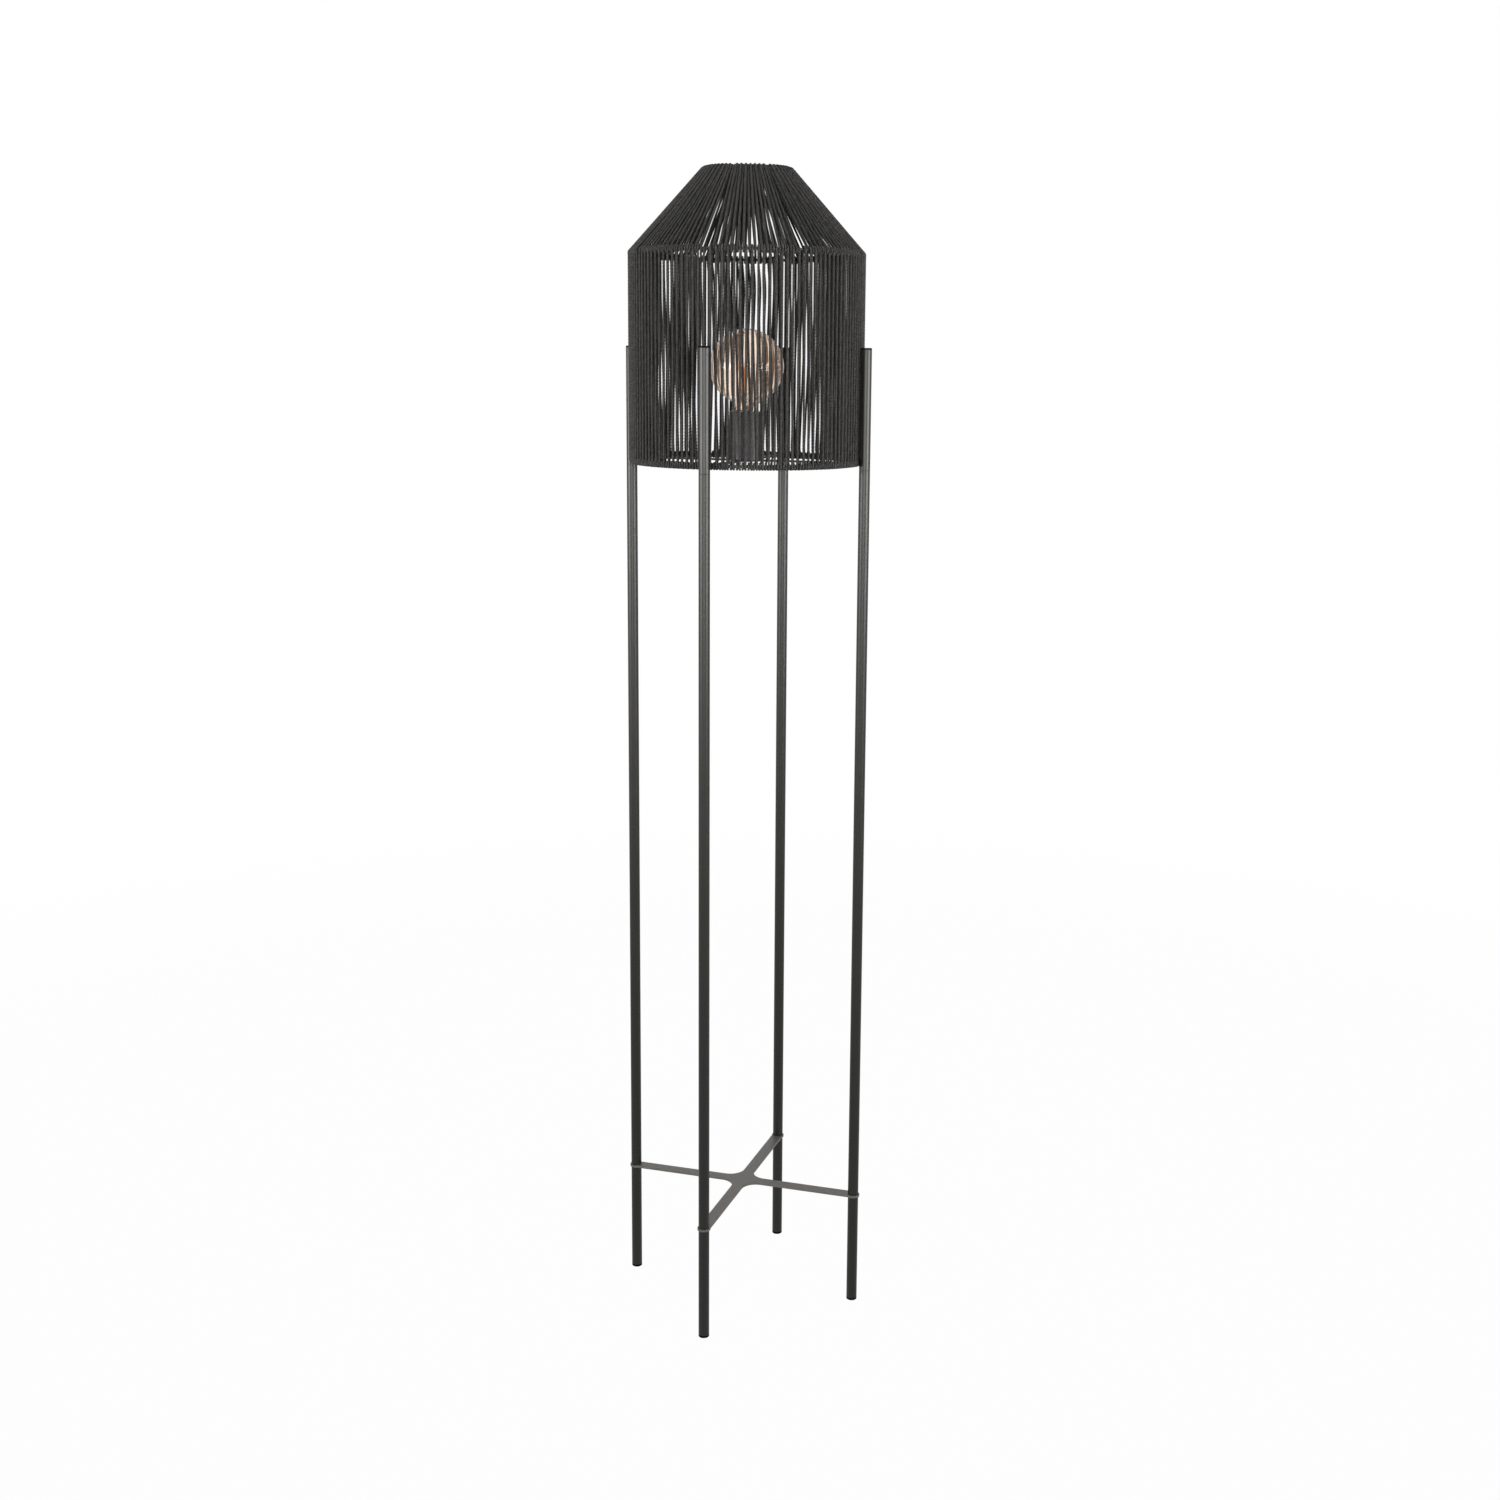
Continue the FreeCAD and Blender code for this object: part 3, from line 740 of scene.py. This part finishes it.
# %% Rings
ring_segments = 160
ring_sides = 18
weld_reach = 3.0 * mm
weld_swelling = 1.14


def select_where(piece, wanted):
    """In edit mode, select the vertices whose place passes a test."""
    shape = bmesh.from_edit_mesh(piece.data)
    for vertex in shape.verts:
        vertex.select = wanted(vertex.co)
    shape.select_flush_mode()
    bmesh.update_edit_mesh(piece.data)


def welded_ring(node, weld_degrees):
    """Makes the ring, and returns its radius, its wire's radius and its height."""
    low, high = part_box(node)
    wire = (high.z - low.z) / 2
    radius = high.x - wire
    height = (low.z + high.z) / 2
    deselect()
    bpy.ops.mesh.primitive_torus_add(
        major_radius=radius,
        minor_radius=wire,
        major_segments=ring_segments,
        minor_segments=ring_sides,
        location=(0, 0, height),
    )
    ring = named(bpy.context.object, node + "_finished")
    settle_in_place()
    middle = about_z(weld_degrees) @ Vector((radius, 0, height))
    bpy.ops.object.mode_set(mode="EDIT")
    select_where(ring, lambda place: (place - middle).length < wire + weld_reach)
    bpy.ops.transform.resize(value=(weld_swelling,) * 3, center_override=middle)
    bpy.ops.object.mode_set(mode="OBJECT")
    bpy.ops.object.shade_smooth()
    finish_piece(ring, frame_wire, "root", node)
    print("%s: radius %.1f, wire %.1f, height %.1f mm" % (node, radius / mm, wire / mm, height / mm))
    return radius, wire, height


bottom_ring = welded_ring("bottom_ring", weld_degrees=67.5)
shoulder_ring = welded_ring("shoulder_ring", weld_degrees=112.5)
top_ring = welded_ring("top_ring", weld_degrees=22.5)

# %% [markdown]
# A rib is one wire with a single bend. It is made as a bender would: its round section is
# extruded up to the bend, spun round the bend's centre, and extruded again along the cone.
# The cut ends are rounded, and eight copies go round.

# %% Ribs
rib_wire = 1.75 * mm
rib_sides = 16
rib_bend_radius = 6.0 * mm
rib_bend_steps = 6
rib_end_rounding = 0.5 * mm
cut_end_angle = math.radians(50)
weld_gap = 0.1 * mm
bays = 8
rib_offset = bottom_ring[1] + rib_wire + weld_gap
cone_tilt = math.atan2(shoulder_ring[0] - top_ring[0], top_ring[2] - shoulder_ring[2])
along_cone = Vector((-math.sin(cone_tilt), 0, math.cos(cone_tilt)))


def inward(tilt):
    """The way from a ring's wire to the rib inside it."""
    return Vector((-math.cos(tilt), 0, -math.sin(tilt)))


def rib_corners():
    """Lower end, corner and upper end of a rib's middle line."""
    cut_back = rib_bend_radius * (1 / math.cos(cone_tilt / 2) - 1)
    corner = Vector((shoulder_ring[0], 0, shoulder_ring[2]))
    corner += inward(cone_tilt / 2) * (rib_offset - cut_back)
    foot = Vector((corner.x, 0, bottom_ring[2] - bottom_ring[1]))
    head = Vector((top_ring[0], 0, top_ring[2]))
    head += inward(cone_tilt) * rib_offset
    head += along_cone * top_ring[1]
    return foot, corner, head


def in_each_bay(piece):
    """Copies of a piece all the way round, in its stead."""
    copies = [moved_copy(piece, "copy", about_z(360 / bays * i)) for i in range(bays)]
    bpy.data.objects.remove(piece)
    return copies


def make_ribs():
    foot, corner, head = rib_corners()
    bend_start = corner.z - rib_bend_radius * math.tan(cone_tilt / 2)
    deselect()
    bpy.ops.mesh.primitive_circle_add(
        vertices=rib_sides, radius=rib_wire, fill_type="NGON", location=foot
    )
    rib = bpy.context.object
    settle_in_place()
    bpy.ops.object.mode_set(mode="EDIT")
    bpy.ops.mesh.select_all(action="SELECT")
    rise = {"value": (0, 0, bend_start - foot.z)}
    bpy.ops.mesh.extrude_region_move(TRANSFORM_OT_translate=rise)
    centre = (corner.x - rib_bend_radius, 0, bend_start)
    bpy.ops.mesh.spin(steps=rib_bend_steps, angle=-cone_tilt, center=centre, axis=(0, 1, 0))
    shape = bmesh.from_edit_mesh(rib.data)
    last = [vertex.co for vertex in shape.verts if vertex.select]
    middle = sum(last, Vector()) / len(last)
    run = {"value": along_cone * (head - middle).dot(along_cone)}
    bpy.ops.mesh.extrude_region_move(TRANSFORM_OT_translate=run)
    bpy.ops.mesh.select_all(action="SELECT")
    bpy.ops.mesh.normals_make_consistent(inside=False)
    bpy.ops.object.mode_set(mode="OBJECT")
    bevel_edges(rib, rib_end_rounding, segments=3, angle=cut_end_angle)
    return joined("frame_ribs_finished", in_each_bay(rib))


finish_piece(make_ribs(), frame_wire, "root", "frame_ribs")
print("ribs: %d, bent by %.1f degrees" % (bays, math.degrees(cone_tilt)))

# %% [markdown]
# Where a rib crosses a ring it gets a spot weld, a small bead that fills the nip between the
# two wires. It is a flattened sphere, swollen at one end, as a weld is never even. The pins,
# which carry the frame on the posts, only get round edges.

# %% Spot welds and pins
weld_size = Vector((1.5, 2.6, 2.6)) * mm
swollen_from = 0.4
end_swelling = (1.25, 0.85, 1.1)
bead_turn = 1.1
pin_edge = 0.3 * mm


def spot_weld(ring, tilt, spin):
    """A flattened bead in the nip between a ring and a rib."""
    radius, wire, height = ring
    deselect()
    bpy.ops.mesh.primitive_uv_sphere_add(segments=16, ring_count=10, radius=1.0)
    bead = bpy.context.object
    bpy.ops.object.mode_set(mode="EDIT")
    bpy.ops.transform.resize(value=weld_size)
    select_where(bead, lambda place: place.z > swollen_from * weld_size.z)
    bpy.ops.transform.resize(value=end_swelling, center_override=(0, 0, 0))
    bpy.ops.object.mode_set(mode="OBJECT")
    bpy.ops.object.shade_smooth()
    lean = Matrix.Rotation(-tilt, 4, "Y") @ Matrix.Rotation(spin, 4, "X")
    nip = inward(tilt) * (wire + weld_gap / 2)
    place = Vector((radius, 0, height)) + nip
    bead.data.transform(Matrix.Translation(place) @ lean)
    return bead


def make_welds():
    beads = []
    rings = ((bottom_ring, 0.0), (shoulder_ring, cone_tilt / 2), (top_ring, cone_tilt))
    for number, (ring, tilt) in enumerate(rings):
        beads += in_each_bay(spot_weld(ring, tilt, number * bead_turn))
    print("spot welds:", len(beads))
    return joined("frame_welds", beads)


finish_piece(make_welds(), frame_wire, "root")
soften("post_pins", pin_edge, frame_wire)

# %% [markdown]
# The cord is what one sees of this lamp. In each of the eight bays one cord is wound up and
# down over the bottom and the shoulder ring, and another over the shoulder and the top ring.
# Every turn rises outside the wires and comes down inside them, so the shade has two layers
# of strands, and light only passes where the gaps of both layers meet.
#
# The cone cord has one turn less than the drum cord, as its turns start from the gaps of the
# drum's. At the mouth they have less than half the room, so they are squeezed: every other
# turn lies on its neighbours, with a wider bend round the wire.

# %% Sizes of the winding
cord_radius = 1.40 * mm
wrap_clearance = 0.25 * mm
wrap = bottom_ring[1] + wrap_clearance + cord_radius
mouth_lift_low = 1.5 * mm
mouth_lift_high = 2.7 * mm
mouth_wraps = (wrap + mouth_lift_low, wrap + mouth_lift_high)
drum_turns = 16
cone_turns = drum_turns - 1
cone_shift = 0.53
drum_rib_gap = 4.2 * mm
mouth_gap_outside = 1.45 * mm
mouth_gap_inside = 3.6 * mm
bay_angle = math.radians(360 / bays)


def even_angle(radius, rib_gap, turns, index):
    """Turns spread evenly over a bay, with a gap beside the ribs."""
    edge = rib_gap / radius
    return edge + index * (bay_angle - 2 * edge) / (turns - 1)


def drum_angle(index):
    return even_angle(bottom_ring[0] + wrap, drum_rib_gap, drum_turns, index)


def mouth_angle(rib_gap, index):
    return even_angle(top_ring[0], rib_gap, cone_turns, index)


half_pitch = (drum_angle(1) - drum_angle(0)) / 2
print("a strand of the drum every %.2f degrees" % math.degrees(2 * half_pitch))

# %% [markdown]
# The way of a cord is given by its corners round the wires of the rings. A strand is a
# tangent to two wires, so its corners follow from the tilt of that tangent. The bottom ring
# is covered nearly without a gap, so each turn makes one more loop there: it comes down
# inside, goes round the wire half a pitch before its next strand, and comes round once more.
# The start of the drum cord covers the ring at the rib in the same way.

# %% Corners round the rings
cord_play = 0.2 * mm
piled = 2 * cord_radius + cord_play
over_loop = 3.5 * mm
loop_return = 0.8
anchor_side = 4.0 * mm
aside_run = 30.0 * mm


def strand(low_ring, high_ring, side, high_wrap):
    """Lower and upper corner, as (radius, height), outside (1) or inside (-1) the wires."""
    run = low_ring[0] - high_ring[0]
    rise = high_ring[2] - low_ring[2]
    tilt = math.atan2(run, rise) + math.asin(side * (wrap - high_wrap) / math.hypot(run, rise))
    out = Vector((math.cos(tilt), math.sin(tilt)))
    up = Vector((-math.sin(tilt), math.cos(tilt)))
    foot = Vector((low_ring[0], low_ring[2])) + side * wrap * out - wrap * up
    head = Vector((high_ring[0], high_ring[2])) + side * high_wrap * out + high_wrap * up
    return foot, head


def round_about(corner, angle):
    radius, height = corner
    return Vector((radius * math.cos(angle), radius * math.sin(angle), height))


def beside_ring(ring, *corners):
    """Points beside a ring's wire: at an angle, so far outwards and so far up from it."""
    return [round_about((ring[0] + out, ring[2] + up), angle) for angle, out, up in corners]


def hitch(ring, inner_angle, angle):
    """Corners of one more loop round a ring: the strand comes down inside the loop, goes
    round the wire beside it, and the loop brings it back."""
    return beside_ring(
        ring,
        (inner_angle, -wrap - piled, wrap + over_loop),
        (angle - half_pitch, -wrap - piled, -wrap),
        (angle - half_pitch, wrap, -wrap),
        (angle - half_pitch, wrap, wrap),
        (angle - loop_return * half_pitch, -wrap, wrap),
        (angle, -wrap, -wrap),
    )


def anchor(ring, angle):
    """Corners of the cord's start: one loop that covers the ring at the rib."""
    return beside_ring(
        ring,
        (0.0, -wrap, -wrap),
        (0.0, wrap, -wrap),
        (0.0, wrap, wrap),
        (anchor_side / ring[0], -wrap, wrap),
        (angle, -wrap, -wrap),
    )


def leave_ring(ring, high_angle, run_angle):
    """Corners of a strand that leaves a ring downwards on the inside, and moves aside."""
    return beside_ring(
        ring,
        (high_angle, -wrap, wrap),
        (high_angle, -wrap, -wrap),
        (run_angle, -wrap, -wrap - aside_run),
    )


print("a loop goes round the wire %.1f mm from its middle" % (wrap / mm))

# %% [markdown]
# With these the corners of a whole cord follow turn by turn. The drum cord stops just short
# of its last corner. The cone cord starts a little above its first one, and its last turn
# goes over the mouth's ring and a short way down the inside.

# %% Corners of the two cords
def drum_corners(feet, inner_feet, heads, inner_heads):
    """Corners of a drum cord, from the angles of its strands' ends, outside and inside."""
    foot, head = strand(bottom_ring, shoulder_ring, 1, wrap)
    points = anchor(bottom_ring, feet[0])
    for i in range(drum_turns):
        points += [round_about(foot, feet[i]), round_about(head, heads[i])]
        if i < drum_turns - 1:
            aside = feet[i + 1] - inner_feet[i + 1]
            points += leave_ring(shoulder_ring, inner_heads[i], inner_heads[i] - aside)
            points += hitch(bottom_ring, inner_feet[i + 1], feet[i + 1])
    points[-1] += (points[-2] - points[-1]).normalized() * wrap
    return points


def cone_corners():
    """Corners of a cone cord. At the mouth, two widths of bend take turns."""
    feet = [drum_angle(i + cone_shift) for i in range(cone_turns)]
    points = []
    for i in range(cone_turns):
        mouth_wrap = mouth_wraps[i % 2]
        outer_angle = mouth_angle(mouth_gap_outside, i)
        inner_angle = mouth_angle(mouth_gap_inside, i)
        foot, head = strand(shoulder_ring, top_ring, 1, mouth_wrap)
        points += [round_about(foot, feet[i]), round_about(head, outer_angle)]
        foot, head = strand(shoulder_ring, top_ring, -1, mouth_wrap)
        points.append(round_about(head, inner_angle))
        if i < cone_turns - 1:
            points.append(round_about(foot, feet[i + 1]))
    points[0] += (points[1] - points[0]).normalized() * wrap
    end = head + (foot - head).normalized() * 2 * mouth_wrap
    points.append(round_about(end, inner_angle))
    return points


print("a cone cord has %d corners" % len(cone_corners()))

# %% [markdown]
# A smooth NURBS curve rounds the corners. One more point each side of a corner keeps the
# bend tight and the strand straight. A curve of order 3 touches the middle of every leg
# between its points, so with equal legs on both sides the bend comes out even. The curve is
# only a guide: its points are read, and the twisted cord is built along them.

# %% Smooth ways
curve_steps = 7


def with_guards(corners):
    """On each long run, a point beside each corner, as far from it as the next corner is."""
    points = [corners[0]]
    for i in range(len(corners) - 1):
        start, end = corners[i], corners[i + 1]
        run = end - start
        before = (start - corners[i - 1]).length if i else 0.0
        after = (corners[i + 2] - end).length if i + 2 < len(corners) else 0.0
        if run.length > before + after:
            if before:
                points.append(start + run.normalized() * before)
            if after:
                points.append(end - run.normalized() * after)
        points.append(end)
    return points


def points_on_curve(controls):
    """Points along a NURBS curve of order 3."""
    curve = bpy.data.curves.new("way", "CURVE")
    curve.dimensions = "3D"
    curve.resolution_u = curve_steps
    spline = curve.splines.new("NURBS")
    spline.points.add(len(controls) - 1)
    for point, place in zip(spline.points, controls):
        point.co = (*place, 1.0)
    spline.order_u = 3
    spline.use_endpoint_u = True
    guide = bpy.data.objects.new("way", curve)
    scene.collection.objects.link(guide)
    mesh = bpy.data.meshes.new_from_object(guide)
    places = [vertex.co.copy() for vertex in mesh.vertices]
    bpy.data.meshes.remove(mesh)
    bpy.data.objects.remove(guide)
    bpy.data.curves.remove(curve)
    return places


print("points of a curve between two of its controls:", curve_steps)

# %% [markdown]
# The section of the cord is a circle with three soft lobes, which turns once in every twelve
# millimetres, so each lobe runs round the cord like a ply. It is carried along the way in
# short steps. At each step it is turned only as much as the way bends, which keeps the twist
# even round the rings. The place in the section and the distance along the cord are kept as
# the attribute `straight`, for the finish.

# %% Sections along a way
step_length = 1.3 * mm


def stations(way, step):
    """Places at even steps along a line of points."""
    places = [way[0]]
    left = step
    for start, end in zip(way, way[1:]):
        run = (end - start).length
        done = 0.0
        while run - done >= left:
            done += left
            places.append(start.lerp(end, done / run))
            left = step
        left -= run - done
    if (places[-1] - way[-1]).length > step / 3:
        places.append(way[-1])
    return places


def section_frames(places):
    """At each place, the two directions across the cord, turned as little as possible."""
    frames = []
    across = None
    for i, place in enumerate(places):
        ahead = (places[min(i + 1, len(places) - 1)] - places[max(i - 1, 0)]).normalized()
        if across is None:
            across = ahead.orthogonal()
        across = (across - ahead * across.dot(ahead)).normalized()
        frames.append((across, ahead.cross(across)))
    return frames


print("a section every %.1f mm" % (step_length / mm))

# %% Twisted cord
plies = 3
section_sides = 9
ply_depth = 0.15 * mm
lay_length = 12.0 * mm


def skin_faces(sections):
    """Four-sided faces between each section and the next, and one face on either end."""
    faces = []
    for i in range(sections - 1):
        for side in range(section_sides):
            a = i * section_sides + side
            b = i * section_sides + (side + 1) % section_sides
            faces.append((a, b, b + section_sides, a + section_sides))
    corners = sections * section_sides
    faces.append(tuple(reversed(range(section_sides))))
    faces.append(tuple(range(corners - section_sides, corners)))
    return faces


def twisted_cord(name, way, start_turn):
    places = stations(way, step_length)
    vertices = []
    straight = []
    for i, (place, (first, second)) in enumerate(zip(places, section_frames(places))):
        along = i * step_length
        twist = 2 * math.pi * along / lay_length + start_turn
        for side in range(section_sides):
            angle = 2 * math.pi * side / section_sides
            radius = cord_radius + ply_depth * math.cos(plies * angle)
            straight += (radius * math.cos(angle), radius * math.sin(angle), along + start_turn)
            angle += twist
            vertices.append(place + radius * (math.cos(angle) * first + math.sin(angle) * second))
    mesh = bpy.data.meshes.new(name)
    mesh.from_pydata(vertices, [], skin_faces(len(places)))
    store = mesh.attributes.new("straight", "FLOAT_VECTOR", "POINT")
    store.data.foreach_set("vector", straight)
    mesh.shade_smooth()
    cord = bpy.data.objects.new(name, mesh)
    scene.collection.objects.link(cord)
    return cord


print("section of %d sides, %d plies" % (section_sides, plies))

# %% [markdown]
# Every bay is wound by hand, so its strands don't stand quite evenly. Seeded random numbers
# move each end of the drum's strands by a fraction of a millimetre, inside more than
# outside. At the mouth the turns are squeezed, so the cone's keep their places. In one bay at
# the back the inner strands are led half a pitch aside, little by little over the first
# turns, as the photograph's slits of light ask.

# %% Winding
random.seed(11)
outer_unevenness = 0.5 * mm
inner_unevenness = 0.6 * mm
head_unevenness = 0.35 * mm
inner_head_unevenness = 2 * head_unevenness
latest_start_turn = 6
bay_aside = 3
aside_turns = 4


def uneven(angle, amount):
    return angle + random.uniform(-1, 1) * amount / bottom_ring[0]


def uneven_drum_angles(amount):
    return [uneven(drum_angle(i), amount) for i in range(drum_turns)]


def wind_bay(number):
    heads = uneven_drum_angles(head_unevenness)
    inner_heads = uneven_drum_angles(inner_head_unevenness)
    feet = uneven_drum_angles(outer_unevenness)
    inner_feet = [uneven(foot, inner_unevenness) for foot in feet]
    if number == bay_aside:
        for i in range(drum_turns):
            inner_feet[i] -= half_pitch * min(i / aside_turns, 1.0)
    drum = drum_corners(feet, inner_feet, heads, inner_heads)
    node = "winding_%d" % number
    bay_turn = about_z(360 / bays * (number - 1))
    for part, corners in (("drum", drum), ("cone", cone_corners())):
        way = points_on_curve(with_guards(corners))
        start_turn = random.uniform(0, latest_start_turn)
        cord = twisted_cord("%s_%s_cord" % (node, part), way, start_turn)
        cord.data.transform(bay_turn)
        finish_piece(cord, shade_cord, "root", node)
        length = sum((end - start).length for start, end in zip(way, way[1:]))
        print("%s: %.2f m, %d faces" % (cord.name, length, len(cord.data.polygons)))


for number in range(1, bays + 1):
    wind_bay(number)

# %% [markdown]
# In the bottom of the shade a cross plate carries the lampholder. The holder's base and
# sleeve are smooth black mouldings with softly rounded rims. The nuts are pressed steel with
# chamfered corners. Their shapes are right in the construction, so their edges are rounded
# as the brace's were.

# %% Holder plate and lampholder
soften("holder_plate", 0.3 * mm, frame_wire)
soften("holder_base", 0.5 * mm, holder_shell, segments=3)
soften("holder_sleeve", 0.4 * mm, holder_shell, segments=3)
soften("nipple_nuts", 0.25 * mm, zinc_steel)
soften("inlet_bush", 0.3 * mm, foot_plastic)
dress(zinc_steel, "threaded_inserts", "connecting_studs", "threaded_nipple")
dress(ceramic, "contact_block", "holder_liner")
dress(contact_brass, "terminal_screws", "threaded_shell", "centre_contact")

# %% [markdown]
# The globe is blown glass: a sphere that runs into its neck with a soft curve, in a wall
# less than a millimetre thick. Only its outside is turned. The Solidify modifier gives the
# wall, because glass needs both its surfaces for light to bend as it should.

# %% Globe
glass_wall = 0.8 * mm
neck_radius = 13.6 * mm
neck_fillet = 12.0 * mm
fillet_steps = 8
sphere_steps = 40
globe_sides = 72


def globe_profile():
    """From the neck's rim, round the fillet and over the sphere to its top."""
    low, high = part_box("bulb_glass")
    radius = (high.x - low.x) / 2
    centre = high.z - radius
    fillet_x = neck_radius + neck_fillet
    fillet_z = centre - math.sqrt((radius + neck_fillet) ** 2 - fillet_x ** 2)
    meeting = math.atan2(centre - fillet_z, fillet_x)
    profile = [(neck_radius, low.z)]
    for step in range(fillet_steps + 1):
        angle = math.pi - meeting * step / fillet_steps
        place = (fillet_x + neck_fillet * math.cos(angle), fillet_z + neck_fillet * math.sin(angle))
        profile.append(place)
    for step in range(1, sphere_steps + 1):
        angle = (math.pi / 2 + meeting) * step / sphere_steps - meeting
        profile.append((max(radius * math.cos(angle), 0.0), centre + radius * math.sin(angle)))
    return profile


profile = globe_profile()
globe = turned_piece("bulb_glass_finished", profile, globe_sides, capped=False)
hold(globe)
wall = globe.modifiers.new("wall", "SOLIDIFY")
wall.thickness = glass_wall
wall.offset = -1.0
bpy.ops.object.modifier_apply(modifier=wall.name)
bpy.ops.object.shade_smooth()
finish_piece(globe, amber_glass, "bulb", "bulb_glass")
print("globe: %d turned sections" % len(profile))

# %% [markdown]
# Inside the globe and below it the shapes are right already. Filaments, insulator and tip
# get round edges, and the stem, the wires and the threaded cap only a finish.

# %% Inside of the bulb and its cap
soften("bulb_filaments", 0.35 * mm, filament_coat, "bulb", segments=3)
soften("bulb_insulator", 0.3 * mm, cap_insulator, "bulb")
soften("bulb_tip", 0.3 * mm, contact_brass, "bulb_contact")
dress(clear_glass, "bulb_stem")
dress(cap_metal, "filament_wires", "bulb_cap")
print("bulb dressed")
